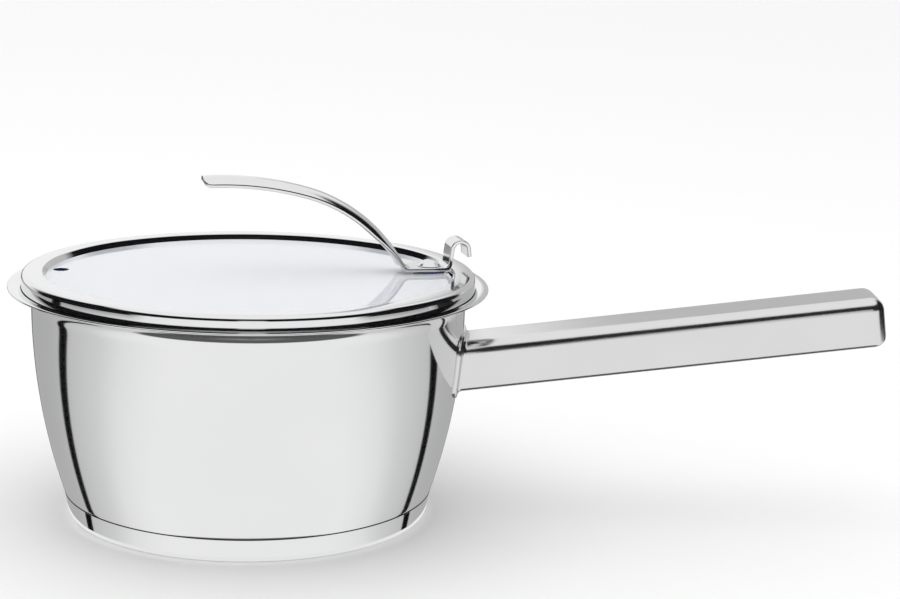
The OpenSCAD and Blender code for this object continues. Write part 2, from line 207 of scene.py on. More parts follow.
class PanShape:
    """The pan's wall arc, floor corner and flare, worked out from its sizes."""

    def __init__(self, s):
        self.s = s
        self.wall_z = PAN_HIGH.z - s.wall - s.flare
        lean = s.upper - s.foot
        rise = self.wall_z - CAP_HIGH.z
        self.arc_r = (rise * rise + lean * lean) / (2 * lean)
        self.arc_x = s.upper - self.arc_r
        self.floor_z = PAN_LOW.z
        self.corner_z = self.floor_z + s.corner
        reach = self.arc_r - s.corner
        self.corner_x = self.arc_x + math.sqrt(reach * reach - (self.wall_z - self.corner_z) ** 2)
        self.flare_x = s.upper + s.flare

    def radius(self, z):
        """Outside radius of the wall at height z."""
        drop = min(max(self.wall_z - z, 0.0), self.wall_z - self.corner_z)
        return self.arc_x + math.sqrt(self.arc_r**2 - drop**2)

    def side(self, inset, steps):
        """From the axis along the floor, up the corner and the wall, drawn in by inset."""
        tangent = math.degrees(math.asin((self.corner_z - self.wall_z) / (self.arc_r - self.s.corner)))
        floor = [(0.0, self.floor_z + inset), (self.corner_x * 0.5, self.floor_z + inset)]
        corner = arc(self.corner_x, self.corner_z, self.s.corner - inset, -90, tangent, 10)
        wall = arc(self.arc_x, self.wall_z, self.arc_r - inset, tangent, 0, steps)
        return floor + corner + wall[1:]

    def outline(self):
        """The whole thin wall as one closed loop that starts and ends on the axis."""
        s = self.s
        inner = self.side(s.wall, 36) + arc(self.flare_x, self.wall_z, s.flare + s.wall, 180, 90, 16)[1:]
        outer = self.side(0.0, 36) + arc(self.flare_x, self.wall_z, s.flare, 180, 90, 16)[1:]
        edge = arc(PAN_HIGH.x - s.wall / 2, PAN_HIGH.z - s.wall / 2, s.wall / 2, 90, -90, 8)
        return inner + edge + outer[::-1]


def cap_outline(s):
    """The base cap: resting face, rounded edge, tapered side and its seam edge."""
    edge_x = s.cap_foot - s.cap_edge
    top = CAP_HIGH.z
    lip = 0.25 * MM
    outside = [(0.0, 0.0), (edge_x * 0.5, 0.0)] + arc(edge_x, s.cap_edge, s.cap_edge, -90, 0, 12)
    outside += arc(s.foot - lip, top - lip, lip, 0, 60, 4)
    inside = [(s.foot - s.cap, top - 2 * lip), (s.cap_foot - s.cap, s.cap_edge)]
    inside += arc(edge_x, s.cap_edge, s.cap_edge - s.cap, 0, -90, 6) + [(0.0, s.cap)]
    return outside + inside


def ring_outline(s, pan):
    """The lid ring's rolled sheet, from its inner foot over the crest, down and under the glass."""
    out, crest = RING_HIGH.x, RING_HIGH.z
    inner = out - s.width
    t = s.sheet
    seat_r = pan.s.flare + pan.s.wall + s.seat_gap
    flange = RING_LOW.z + s.skirt
    skirt_out = pan.s.upper - pan.s.wall - s.skirt_gap

    def seat(r, x0, z1):
        """The seat arc from the outer wall at x0 down to height z1."""
        start = 180 - math.degrees(math.acos((pan.flare_x - x0) / r))
        end = 180 - math.degrees(math.asin((z1 - pan.wall_z) / r))
        return arc(pan.flare_x, pan.wall_z, r, start, end, 8)

    crest_r = 0.5 * MM
    loop = [(inner - s.lean, GLASS_HIGH.z)]
    loop += arc(inner + crest_r, crest - crest_r, crest_r, 160, 90, 5)
    loop += arc(out - s.shoulder, crest - s.shoulder, s.shoulder, 90, 0, 12)
    loop += seat(seat_r, out, flange)
    loop += [(skirt_out, flange), (skirt_out, RING_LOW.z)]
    loop += [(skirt_out - t, RING_LOW.z), (skirt_out - t, flange)]
    ledge = 1.5 * MM
    lower = inner + ledge
    loop += [(lower, flange), (lower, flange + t)]
    loop += seat(seat_r + t, out - t, flange + t)[::-1]
    loop += arc(out - s.shoulder, crest - s.shoulder, s.shoulder - t, 0, 90, 8)
    loop += [(inner + t, crest - t), (inner - s.lean + t, GLASS_HIGH.z)]
    return loop


# ---------------------------------------------------------------- nodes


def put(tree, kind, settings=None, inputs=None):
    """Adds a node of one kind; its settings go on first, then the values or links of its sockets."""
    node = tree.nodes.new(kind)
    for name, value in (settings or {}).items():
        if name == "stops":
            ramp = node.color_ramp.elements
            while len(ramp) < len(value):
                ramp.new(0.5)
            for stop, (at, tone) in zip(ramp, value):
                stop.position = at
                stop.color = (*tone, 1) if isinstance(tone, tuple) else (tone, tone, tone, 1)
        else:
            setattr(node, name, value)
    for name, value in (inputs or {}).items():
        socket = node.inputs[name]
        if isinstance(value, Num):
            value = value.socket
        if isinstance(value, bpy.types.NodeSocket):
            tree.links.new(value, socket)
        else:
            socket.default_value = value
    return node


def mix_tones(tree, share, first, second, how="MIX"):
    """Mixes two colours, each a socket or three numbers."""
    node = put(tree, "ShaderNodeMix", {"data_type": "RGBA", "blend_type": how}, {0: share})
    for index, tone in ((6, first), (7, second)):
        if isinstance(tone, bpy.types.NodeSocket):
            tree.links.new(tone, node.inputs[index])
        else:
            node.inputs[index].default_value = (*tone, 1)
    return node.outputs[2]


class Num:
    """A number socket that arithmetic can be written on."""

    def __init__(self, tree, socket):
        self.tree, self.socket = tree, socket

    def _op(self, operation, *values):
        node = put(self.tree, "ShaderNodeMath", {"operation": operation}, dict(enumerate(values)))
        return Num(self.tree, node.outputs[0])

    def __add__(self, other):
        return self._op("ADD", self, other)

    __radd__ = __add__

    def __mul__(self, other):
        return self._op("MULTIPLY", self, other)

    __rmul__ = __mul__

    def __sub__(self, other):
        return self._op("SUBTRACT", self, other)

    def __rsub__(self, other):
        return self._op("SUBTRACT", other, self)

    def __truediv__(self, other):
        return self._op("DIVIDE", self, other)

    def __rtruediv__(self, other):
        return self._op("DIVIDE", other, self)

    def __abs__(self):
        return self._op("ABSOLUTE", self)

    def __mod__(self, other):
        return self._op("MODULO", self, other)

    def floor(self):
        return self._op("FLOOR", self)

    def sin(self):
        return self._op("SINE", self)

    def cos(self):
        return self._op("COSINE", self)

    def root(self):
        return self._op("SQRT", self)

    def clip(self):
        return self._op("MINIMUM", self._op("MAXIMUM", self, 0.0), 1.0)

    def arcsine(self):
        return self._op("ARCSINE", self)

    def bearing(self, ahead):
        """The angle of a direction that goes this far across and that far ahead."""
        return self._op("ARCTAN2", self, ahead)

    def most(self, other):
        return self._op("MAXIMUM", self, other)

    def beyond(self, start, rate):
        """0 up to start, then rising to 1 at the given rate."""
        return ((self - start) * rate).clip()

    def until(self, stop, rate):
        """1 well below stop, falling to 0 there at the given rate."""
        return ((stop - self) * rate).clip()

    def near(self, value, width, rate=1):
        """0 at width from value, rising towards it to 1 at the given rate."""
        return ((1 - abs(self - value) / width) * rate).clip()


# ---------------------------------------------------------------- meshes


def revolve_tree():
    """Geometry Nodes that turn an outline, given as points in X and Z, into a solid of revolution."""
    tree = bpy.data.node_groups.new("Revolve outline", "GeometryNodeTree")
    face = tree.interface
    face.new_socket("Outline", in_out="INPUT", socket_type="NodeSocketGeometry")
    for name, kind, default in (
            ("Points", "NodeSocketInt", 8), ("Segments", "NodeSocketInt", 96),
            ("Centre", "NodeSocketVector", (0, 0, 0)), ("Finish", "NodeSocketMaterial", None)):
        socket = face.new_socket(name, in_out="INPUT", socket_type=kind)
        if default is not None:
            socket.default_value = default
    face.new_socket("Solid", in_out="OUTPUT", socket_type="NodeSocketGeometry")
    given = put(tree, "NodeGroupInput").outputs
    points = Num(tree, given["Points"])
    segments = Num(tree, given["Segments"])
    sheet = put(tree, "GeometryNodeMeshGrid", {}, {"Vertices X": segments + 1, "Vertices Y": points})
    index = Num(tree, put(tree, "GeometryNodeInputIndex").outputs[0])
    step = (index / points).floor()
    along = index - step * points
    place = put(tree, "GeometryNodeInputPosition")
    sample = put(tree, "GeometryNodeSampleIndex", {"data_type": "FLOAT_VECTOR", "domain": "POINT"},
                 {"Geometry": given["Outline"], "Value": place.outputs[0], "Index": along})
    point = put(tree, "ShaderNodeSeparateXYZ", {}, {0: sample.outputs[0]}).outputs
    radius, height = Num(tree, point[0]), Num(tree, point[2])
    turn = (step % segments) * (math.tau) / segments
    spot = put(tree, "ShaderNodeCombineXYZ", {}, {0: radius * turn.cos(), 1: radius * turn.sin(), 2: height})
    moved = put(tree, "ShaderNodeVectorMath", {"operation": "ADD"}, {0: spot.outputs[0], 1: given["Centre"]})
    bent = put(tree, "GeometryNodeSetPosition", {}, {"Geometry": sheet.outputs["Mesh"],
                                                     "Position": moved.outputs[0]})
    closed = put(tree, "GeometryNodeMergeByDistance", {}, {"Geometry": bent.outputs[0], "Distance": 1e-6})
    real = put(tree, "GeometryNodeRealizeInstances", {}, {"Geometry": closed.outputs[0]})
    painted = put(tree, "GeometryNodeSetMaterial", {},
                  {"Geometry": real.outputs[0], "Material": given["Finish"]})
    put(tree, "NodeGroupOutput", {}, {"Solid": painted.outputs[0]})
    return tree


def add(name, mesh):
    piece = bpy.data.objects.new(name, mesh)
    bpy.context.scene.collection.objects.link(piece)
    return piece


def smooth(mesh, sharp=35):
    """Merges doubles, turns faces outwards and keeps only true edges sharp."""
    work = bmesh.new()
    work.from_mesh(mesh)
    bmesh.ops.remove_doubles(work, verts=work.verts, dist=1e-6)
    bmesh.ops.dissolve_degenerate(work, edges=work.edges, dist=1e-7)
    bmesh.ops.recalc_face_normals(work, faces=work.faces)
    work.to_mesh(mesh)
    work.free()
    mesh.shade_smooth()
    mesh.set_sharp_from_angle(angle=math.radians(sharp))


def revolved(name, outline, finish, segments=96, centre=(0, 0, 0), sharp=35):
    """A piece turned from an outline by the revolve tree."""
    mesh = bpy.data.meshes.new(name)
    outline = [p for i, p in enumerate(outline) if i == 0 or math.dist(p, outline[i - 1]) > 1e-6]
    if outline[0][0] > 0:
        outline.append(outline[0])
    mesh.from_pydata([(x, 0, z) for x, z in outline], [], [])
    piece = add(name, mesh)
    tree = bpy.data.node_groups.get("Revolve outline") or revolve_tree()
    modifier = piece.modifiers.new("Revolve", "NODES")
    modifier.node_group = tree
    values = {"Points": len(outline), "Segments": segments, "Centre": Vector(centre), "Finish": finish}
    for item in tree.interface.items_tree:
        if item.in_out == "INPUT" and item.name in values:
            modifier[item.identifier] = values[item.name]
    bpy.context.view_layer.update()
    solid = bpy.data.meshes.new_from_object(piece.evaluated_get(bpy.context.evaluated_depsgraph_get()))
    piece.modifiers.remove(modifier)
    piece.data = solid
    solid.name = name
    smooth(solid, sharp)
    return piece


def mesh_piece(name, points, faces, finish, sharp=35):
    mesh = bpy.data.meshes.new(name)
    mesh.from_pydata(points, [], faces)
    mesh.materials.append(finish)
    smooth(mesh, sharp)
    return add(name, mesh)


def lofted(name, rings, finish, sharp):
    """A closed piece skinned over rings that all have the same number of points."""
    count, last = len(rings[0]), len(rings) - 1
    faces = []
    for i in range(last):
        for j in range(count):
            k = (j + 1) % count
            faces.append((i * count + j, i * count + k, (i + 1) * count + k, (i + 1) * count + j))
    faces += [tuple(range(count)), tuple(last * count + j for j in range(count))]
    return mesh_piece(name, [point for ring in rings for point in ring], faces, finish, sharp)


def bored(piece, holes):
    """Cuts round holes, each given as centre x, y, radius, low and high."""
    for x, y, r, low, high in holes:
        work = bmesh.new()
        bmesh.ops.create_cone(work, cap_ends=True, segments=48, radius1=r, radius2=r, depth=high - low,
                              matrix=Matrix.Translation((x, y, (low + high) / 2)))
        mesh = bpy.data.meshes.new("Drill")
        work.to_mesh(mesh)
        work.free()
        drill = add("Drill", mesh)
        cut = piece.modifiers.new("Hole", "BOOLEAN")
        cut.operation, cut.solver, cut.object = "DIFFERENCE", "EXACT", drill
        bpy.context.view_layer.update()
        solid = bpy.data.meshes.new_from_object(piece.evaluated_get(bpy.context.evaluated_depsgraph_get()))
        piece.modifiers.remove(cut)
        piece.data = solid
        bpy.data.objects.remove(drill)
    smooth(piece.data, 30)
    return piece


def finished(piece, body, slot, *nodes):
    """Rides the piece on its body and says which node it stands for and which slot it takes."""
    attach(piece, body)
    if nodes:
        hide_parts(*nodes)
    return piece


def turned(piece, turn):
    """Turns the piece's mesh about Z."""
    piece.data.transform(Matrix.Rotation(turn, 4, "Z"))
    return piece


# ---------------------------------------------------------------- finishes


class Paint:
    """One material: its coordinates, its patterns and its shader."""

    def __init__(self, name):
        self.material = bpy.data.materials.new(name)
        self.material.use_nodes = True
        self.tree = self.material.node_tree
        self.tree.nodes.clear()
        self.at = put(self.tree, "ShaderNodeTexCoord").outputs["Object"]
        parts = put(self.tree, "ShaderNodeSeparateXYZ", {}, {0: self.at}).outputs
        self.x, self.y, self.z = (Num(self.tree, part) for part in parts)

    def radius(self):
        return (self.x * self.x + self.y * self.y).root()

    def noise(self, scale, stretch=(1, 1, 1), detail=2.0):
        """Soft noise from 0 to 1; scale is in patches per metre and stretch differs by axis."""
        laid = put(self.tree, "ShaderNodeMapping", {}, {"Vector": self.at, "Scale": stretch})
        cloud = put(self.tree, "ShaderNodeTexNoise", {}, {"Vector": laid.outputs[0], "Scale": scale,
                                                          "Detail": detail, "Roughness": 0.5})
        return Num(self.tree, cloud.outputs["Fac"])

    def mix(self, share, first, second):
        return mix_tones(self.tree, share, first, second)

    def bump(self, height, depth, strength=1.0):
        node = put(self.tree, "ShaderNodeBump", {},
                   {"Height": height, "Distance": depth, "Strength": strength})
        return node.outputs[0]

    def shade(self, **values):
        """Ends the material in a Principled shader; names give the sockets, with _ for a space."""
        sockets = {name.replace("_", " "): value for name, value in values.items()}
        shader = put(self.tree, "ShaderNodeBsdfPrincipled", {}, sockets)
        put(self.tree, "ShaderNodeOutputMaterial", {}, {"Surface": shader.outputs[0]})
        return self.material


def once(name, make):
    return bpy.data.materials.get(name) or make(name)


def settings():
    return bpy.context.scene.saucepan_finish


def mirror_steel(name="Mirror steel"):
    """Polished drawn steel: faint cloudiness, hairline polishing rings and a very slight waviness."""
    s, paint = settings(), Paint(name)
    cloud = paint.noise(30)
    hair = paint.noise(900, (0.15, 0.15, 3.0), 3)
    wave = paint.noise(22, (1, 1, 0.6), 0)
    return paint.shade(
        Metallic=1.0, Base_Color=paint.mix(cloud, s.steel, s.steel_shade),
        Roughness=s.polish + 0.03 * hair + 0.015 * cloud,
        Normal=paint.bump(wave + 0.01 * hair, 0.00012))


def base_steel(name="Base steel"):
    """The base cap: polished side, dark hairline seam at its top, turned rings on its resting face."""
    s, paint = settings(), Paint(name)
    cloud = paint.noise(34)
    # Painted shade: the thin band at the seam is painted near-black for the shade in the joint's gap, and is
    # made rougher there.
    seam = paint.z.near(CAP_HIGH.z, 0.6 * MM, 3)
    under = paint.z.until(0.6 * MM, 4000)
    rings = (paint.radius() * 5200).sin()
    tone = paint.mix(seam, paint.mix(cloud, s.steel, s.steel_shade), (0.03, 0.03, 0.035))
    rough = s.polish + 0.4 * seam + 0.02 * cloud + 0.22 * under
    return paint.shade(Metallic=1.0, Base_Color=tone, Roughness=rough,
                       Normal=paint.bump(rings * under, 0.00002))


def satin_steel(name="Satin steel"):
    """The long handle: fine lengthwise brushing, polished a little brighter on its rounded edges."""
    s, paint = settings(), Paint(name)
    grain = paint.noise(1500, (0.04, 1, 1), 3)
    cloud = paint.noise(45)
    wear = paint.noise(70, (0.5, 1, 1)).beyond(0.58, 6)
    return paint.shade(
        Metallic=1.0, Base_Color=paint.mix(cloud, s.handle, tuple(0.95 * c for c in s.handle)),
        Roughness=s.satin + 0.06 * grain + 0.03 * wear, Normal=paint.bump(grain, 0.000006))


def strap_steel(name="Strap steel"):
    s, paint = settings(), Paint(name)
    cloud = paint.noise(80)
    hair = paint.noise(1800, (0.2, 1, 1), 3)
    return paint.shade(Metallic=1.0, Base_Color=paint.mix(cloud, s.strap, tuple(0.93 * c for c in s.strap)),
                       Roughness=s.polish + 0.04 + 0.04 * hair,
                       Normal=paint.bump(cloud + 0.02 * hair, 0.00003))


def ring_steel(name="Ring steel"):
    """The lid's rolled ring: hairlines that run round it."""
    s, paint = settings(), Paint(name)
    cloud = paint.noise(60)
    lines = paint.noise(1, (1, 1, 1), 0)
    hair = (paint.radius() * 9000 + 4 * lines).sin()
    return paint.shade(Metallic=1.0, Base_Color=paint.mix(cloud, s.steel, s.steel_shade),
                       Roughness=s.polish + 0.03 + 0.01 * hair, Normal=paint.bump(hair, 0.0000008))


def plain_steel(name="Plain steel"):
    paint = Paint(name)
    grain = paint.noise(900, (1, 1, 1), 3)
    return paint.shade(Metallic=1.0, Base_Color=paint.mix(grain, (0.62, 0.63, 0.64), (0.50, 0.51, 0.53)),
                       Roughness=0.28 + 0.14 * grain, Normal=paint.bump(grain, 0.00002))


def aluminium(name="Aluminium"):
    paint = Paint(name)
    grain = paint.noise(500, (1, 1, 1), 4)
    return paint.shade(Metallic=1.0, Base_Color=paint.mix(grain, (0.74, 0.75, 0.76), (0.62, 0.63, 0.65)),
                       Roughness=0.35 + 0.15 * grain, Normal=paint.bump(grain, 0.00003))


def lid_glass(name="Lid glass"):
    """Toughened glass: a faint blue tint, greener at its cut edge, and barely seen wiping marks."""
    s, paint = settings(), Paint(name)
    smear = paint.noise(25, (1, 0.4, 1), 3)
    edge = paint.radius().beyond(GLASS_HIGH.x - 0.6 * MM, 4000)
    tone = paint.mix(edge, paint.mix(smear, s.glass, tuple(0.985 * c for c in s.glass)), (0.55, 0.74, 0.70))
    lid = bpy.context.scene.saucepan_lid
    bearing = lid.vent_angle + LID_TURN
    dx, dy = paint.x - lid.vent_at * math.cos(bearing), paint.y - lid.vent_at * math.sin(bearing)
    # Painted shade: a thin rim round the vent is painted dark navy, standing in for the dark hole.
    vent_shade = (dx * dx + dy * dy).root().until(lid.vent + 0.3 * MM, 8000)
    tone = paint.mix(vent_shade, tone, (0.02, 0.035, 0.09))
    return paint.shade(Base_Color=tone, Roughness=0.012 + 0.03 * smear, IOR=1.5, Transmission_Weight=0.33)


def vent_wall_shade(name="Vent wall"):
    """The ground bore of the glass's vent, in its own shadow."""
    paint = Paint(name)
    grain = paint.noise(900)
    return paint.shade(Base_Color=paint.mix(grain, (0.010, 0.016, 0.045), (0.02, 0.03, 0.08)), Roughness=0.4)


def soft_washer(name="Soft washer"):
    s, paint = settings(), Paint(name)
    grain = paint.noise(1600, (1, 1, 1), 3)
    return paint.shade(Base_Color=paint.mix(grain, s.pad, tuple(1.5 * c for c in s.pad)),
                       Roughness=0.5 + 0.15 * grain, Normal=paint.bump(grain, 0.00003))


def silicone(name="Silicone"):
    s, paint = settings(), Paint(name)
    grain = paint.noise(700)
    return paint.shade(Base_Color=paint.mix(grain, s.seal, tuple(0.85 * c for c in s.seal)),
                       Roughness=0.42 + 0.12 * grain, Normal=paint.bump(grain, 0.00002))


# ---------------------------------------------------------------- pieces


def operator(name, label, note, run):
    """Makes one operator class whose execute runs the given maker."""

    def execute(self, context):
        run(context.scene)
        return {"FINISHED"}

    return type(name, (bpy.types.Operator,), {"__doc__": note, "bl_idname": "saucepan." + name.lower(),
                                              "bl_label": label, "execute": execute})


def make_body(scene):
    s = scene.saucepan_pan
    piece = revolved("Pan_body", PanShape(s).outline(), once("Mirror steel", mirror_steel), s.segments)
    finished(piece, "pan", "polished_steel", "pan_body")


def make_base(scene):
    s = scene.saucepan_pan
    piece = revolved("Base_cap", cap_outline(s), once("Base steel", base_steel), s.segments)
    finished(piece, "pan", "base_steel", "base_cap")


def handle_section(s, inset, notch):
    """The handle's outline in Y and Z, drawn in by inset, with a notch of the given depth underneath."""
    half, low = s.width / 2 - inset, -s.depth + inset
    rt, rl = max(s.top_round - inset, 0.05 * MM), max(s.low_round - inset, 0.05 * MM)
    notch_half = s.width / 2 - s.low_round - s.plate_gap + s.seam
    ring = arc(half - rt, -inset - rt, rt, 0, 90, 10)
    ring += [((half - rt) * k / 6, -inset) for k in (4, 2, 0, -2, -4)]
    ring += arc(rt - half, -inset - rt, rt, 90, 180, 10)
    ring += arc(rl - half, low + rl, rl, 180, 270, 6)
    reach = min(notch_half, half - rl)
    ring += [(-reach, low), (-reach, low + notch), (reach, low + notch), (reach, low)]
    return ring + arc(half - rl, low + rl, rl, 270, 360, 6)


def make_handle(scene):
    """The drawn handle shell: welding flange on the wall, straight bar, rounded end."""
    s, pan = scene.saucepan_handle, PanShape(scene.saucepan_pan)
    cosine, sine = math.cos(s.rise), math.sin(s.rise)
    end = s.reach / cosine + s.depth / 2 * sine

    def place(x, y, z):
        return (x * cosine - z * sine, y, s.height + x * sine + z * cosine)

    def at_wall(y, z, off):
        """Where the line through this point of the section meets the wall grown by off."""
        x = s.reach / 3
        for _ in range(30):
            radius = pan.radius(s.height + x * sine + z * cosine) + off
            x = (math.sqrt(radius * radius - y * y) + z * sine) / cosine
        return x

    rings = []

    def wall_ring(inset, off, notch):
        rings.append([place(at_wall(y, z, off), y, z) for y, z in handle_section(s, inset, notch)])

    depth = s.sheet + s.seam
    for inset, off in ((-s.flange, -0.1 * MM), (-s.flange, 0.6 * s.sheet), (-s.flange + 0.35 * MM, s.sheet)):
        wall_ring(inset, off, depth)
    fillet = 1.5 * MM
    for k in range(7):
        turn = math.pi / 2 * k / 6
        wall_ring(-fillet * (1 - math.sin(turn)), s.sheet + fillet * (1 - math.cos(turn)), depth)

    def flat_ring(x, inset, notch):
        rings.append([place(x, y, z) for y, z in handle_section(s, inset, notch)])

    plate_end = end - 2 * s.top_round
    start = at_wall(0, 0, 8 * MM)
    for k in range(25):
        flat_ring(start + (plate_end + s.seam - start) * k / 24, 0, depth)
    flat_ring(plate_end + s.seam + 0.01 * MM, 0, 0)
    for k in range(13):
        turn = math.pi / 2 * k / 12
        flat_ring(end - s.top_round * (1 - math.sin(turn)), s.top_round * (1 - math.cos(turn)), 0)
    piece = lofted("Handle_shell", rings, once("Satin steel", satin_steel), 32)
    finished(piece, "pan", "handle_steel", "handle_shell")


def make_ring(scene):
    pan = PanShape(scene.saucepan_pan)
    piece = revolved("Lid_ring", ring_outline(scene.saucepan_lid, pan), once("Ring steel", ring_steel), 256)
    finished(piece, "lid", "polished_steel", "lid_ring")


def make_glass(scene):
    s = scene.saucepan_lid
    low, high, out, edge = GLASS_LOW.z, GLASS_HIGH.z, GLASS_HIGH.x, 0.5 * MM
    outline = [(0, low), (out - edge, low), (out, low + edge)]
    outline += [(out, high - edge), (out - edge, high), (0, high)]
    piece = revolved("Lid_glass", outline, once("Lid glass", lid_glass), 192, sharp=30)
    vent = (s.vent_at * math.cos(s.vent_angle), s.vent_at * math.sin(s.vent_angle))
    holes = ((SCREW_OUT, 0, s.hole), (*vent, s.vent))
    bored(piece, [(x, y, r, low - MM, high + MM) for x, y, r in holes])
    # The vent's bore wall takes the painted shadow material.
    piece.data.materials.append(once("Vent wall", vent_wall_shade))
    for face in piece.data.polygons:
        if math.dist(face.center[:2], vent) < s.vent + 0.1 * MM and abs(face.normal.z) < 0.5:
            face.material_index = 1
    finished(turned(piece, LID_TURN), "lid", "lid_glass", "lid_glass")
    seal_low, seal_high = box_of("glass_seal")
    seal_out = seal_high.x
    inner = scene.saucepan_pan.upper - scene.saucepan_pan.wall - s.skirt_gap - s.sheet - s.seal_in
    upper = RING_HIGH.x - s.width + s.sheet + s.seal_set
    outline = [(inner, seal_low.z), (seal_out, seal_low.z), (seal_out, seal_high.z), (upper, seal_high.z),
               (upper, high), (out, high), (out, low), (inner, low)]
    seal = revolved("Glass_seal", outline, once("Silicone", silicone), 192)
    finished(seal, "lid", "seal_rubber", "glass_seal")


def strap_stations(s, ring_in):
    """Points down the strap's top line: place, normal, half width and crown, from tip to hook."""
    half, half_hook = s.width / 2, s.hook_width / 2
    crest, foot = RING_HIGH.z, PAD_HIGH.z + s.sheet
    knee_x = SCREW_OUT - s.foot_length
    start = math.pi / 2 - s.arch_sweep
    end = start - s.drop_sweep
    top_z = crest + s.arch - s.bend
    drop_z = foot + s.knee * (1 - math.sin(end))
    drop_r = (top_z + s.bend * math.sin(start) - drop_z) / (math.sin(start) - math.sin(end))
    apex_x = knee_x - (s.bend - drop_r) * math.cos(start) - (drop_r + s.knee) * math.cos(end)
    drop = (apex_x + (s.bend - drop_r) * math.cos(start), top_z + (s.bend - drop_r) * math.sin(start))
    rows = []

    def bend(x, z, r, a0, a1, side, steps, h0, h1, c0, c1):
        for k in range(1, steps + 1):
            t = k / steps
            a = a0 + (a1 - a0) * t
            rows.append((x + r * math.cos(a), z + r * math.sin(a), side * math.cos(a), side * math.sin(a),
                         blend(h0, h1, t), blend(c0, c1, t)))

    tip = math.pi / 2 + math.asin(s.tip / s.bend)
    for degrees in range(0, 90, 10):
        f = math.radians(degrees)
        a = tip - s.tip_round * (1 - math.cos(f)) / s.bend
        rows.append((apex_x + s.bend * math.cos(a), top_z + s.bend * math.sin(a), math.cos(a), math.sin(a),
                     half - s.tip_round * (1 - math.sin(f)), s.crown))
    fade = end + s.fade_sweep
    bend(apex_x, top_z, s.bend, tip - s.tip_round / s.bend, start, 1, 20, half, half, s.crown, s.crown)
    bend(*drop, drop_r, start, fade, 1, 20, half, half, s.crown, s.crown)
    bend(*drop, drop_r, fade, end, 1, 14, half, half, s.crown, 0.3 * s.crown)
    bend(knee_x, foot + s.knee, s.knee, math.pi + end, 1.5 * math.pi, -1, 12, half, half, 0.3 * s.crown, 0)
    reach, height = s.hook_bend + s.sheet + s.hook_clear, foot + s.hook_bend - crest
    bend_x = ring_in - math.sqrt(reach * reach - height * height)
    for k in range(1, 13):
        x = knee_x + (bend_x - knee_x) * k / 12
        t = (x - SCREW_OUT) / (bend_x - SCREW_OUT)
        rows.append((x, foot, 0, 1, half if t < 0 else blend(half, half_hook, t), 0))
    lean, r = s.lean, s.hook_bend
    bend(bend_x, foot + r, r, 1.5 * math.pi, math.tau - lean, -1, 10, half_hook, half_hook, 0, 0)
    leg = (bend_x + r * math.cos(lean), foot + r - r * math.sin(lean))
    rise = s.hook_height - s.hook_round - r
    curl = (leg[0] + rise * math.sin(lean) + s.hook_round * math.cos(lean),
            leg[1] + rise * math.cos(lean) - s.hook_round * math.sin(lean))
    last = s.tail_tilt - lean
    bend(*curl, s.hook_round, math.pi - lean, last, 1, 24, half_hook, half_hook, 0, 0)
    x, z, nx, nz, h, c = rows[-1]
    rows.append((x + s.tail * math.sin(last), z - s.tail * math.cos(last), nx, nz, h, c))
    return rows


def make_strap(scene):
    """The bent strap: crowned arch, flat foot with its hole, curled hook."""
    s = scene.saucepan_strap
    rings = []
    for x, z, nx, nz, half, crown in strap_stations(s, RING_HIGH.x - scene.saucepan_lid.width):
        r = min(0.35 * MM, 0.45 * half)
        ring = [(half - r) * (1 - 2 * k / 14) for k in range(15)]
        loop = [(y, 0.0) for y in ring]
        loop += arc(r - half, -r, r, 90, 180, 4)[1:] + arc(r - half, r - s.sheet, r, 180, 270, 4)
        loop += [(-y, -s.sheet) for y in ring[1:]]
        loop += arc(half - r, r - s.sheet, r, 270, 360, 4)[1:] + arc(half - r, -r, r, 0, 90, 4)[:-1]
        rings.append([])
        for y, d in loop:
            sink = d - crown * (y / (s.width / 2)) ** 2
            rings[-1].append((x + sink * nx, y, z + sink * nz))
    piece = lofted("Strap_handle", rings, once("Strap steel", strap_steel), 40)
    low, high = PAD_HIGH.z, PAD_HIGH.z + s.sheet
    bored(piece, [(SCREW_OUT, 0, scene.saucepan_lid.hole, low - 0.5 * MM, high + 0.5 * MM)])
    finished(turned(piece, LID_TURN), "lid", "strap_steel", "strap_handle")


def washer_outline(low, high, out, hole):
    r = min(0.25 * MM, (high - low) / 3)
    ring = arc(out - r, low + r, r, -90, 0, 4) + arc(out - r, high - r, r, 0, 90, 4)
    return ring + arc(hole + r, high - r, r, 90, 180, 4) + arc(hole + r, low + r, r, 180, 270, 4)


def make_stack(scene):
    """The soft washers, the steel washer and the domed screw."""
    hole = scene.saucepan_lid.hole
    centre = (SCREW_AT.x, SCREW_AT.y, 0)
    for name, node, slot, finish, make in (
            ("Strap_pad", "strap_pad", "pad_rubber", "Soft washer", soft_washer),
            ("Glass_pad", "glass_pad", "pad_rubber", "Soft washer", soft_washer),
            ("Steel_washer", "steel_washer", "plain_steel", "Plain steel", plain_steel)):
        low, high = box_of(node)
        outline = washer_outline(low.z, high.z, (high.x - low.x) / 2, hole)
        piece = revolved(name, outline, once(finish, make), 64, centre)
        finished(piece, "lid", slot, node)
    head = (SCREW_HIGH.x - SCREW_LOW.x) / 2
    foot = PAD_HIGH.z + scene.saucepan_strap.sheet
    rise = SCREW_HIGH.z - foot
    dome = (head * head + rise * rise) / (2 * rise)
    side = math.degrees(math.asin(head / dome))
    shank = scene.saucepan_lid.shank
    outline = [(shank, SCREW_LOW.z), (shank, foot), (head - 0.2 * MM, foot), (head, foot + 0.15 * MM)]
    outline = [(0, SCREW_LOW.z)] + outline + arc(0, SCREW_HIGH.z - dome, dome, 90 - side + 3, 90, 14)
    piece = revolved("Lid_screw", outline, once("Strap steel", strap_steel), 64, centre)
    finished(piece, "lid", "strap_steel", "lid_screw")


def make_hidden(scene):
    """Gives the kept nodes their finishes."""
    kept = {"heat_spreader": ("Aluminium", aluminium), "handle_bracket": ("Plain steel", plain_steel),
            "handle_underside": ("Satin steel", satin_steel), "cap_nut": ("Plain steel", plain_steel)}
    for node, (name, make) in kept.items():
        for slot in bpy.data.objects[node].material_slots:
            slot.material = once(name, make)


# ---------------------------------------------------------------- stage


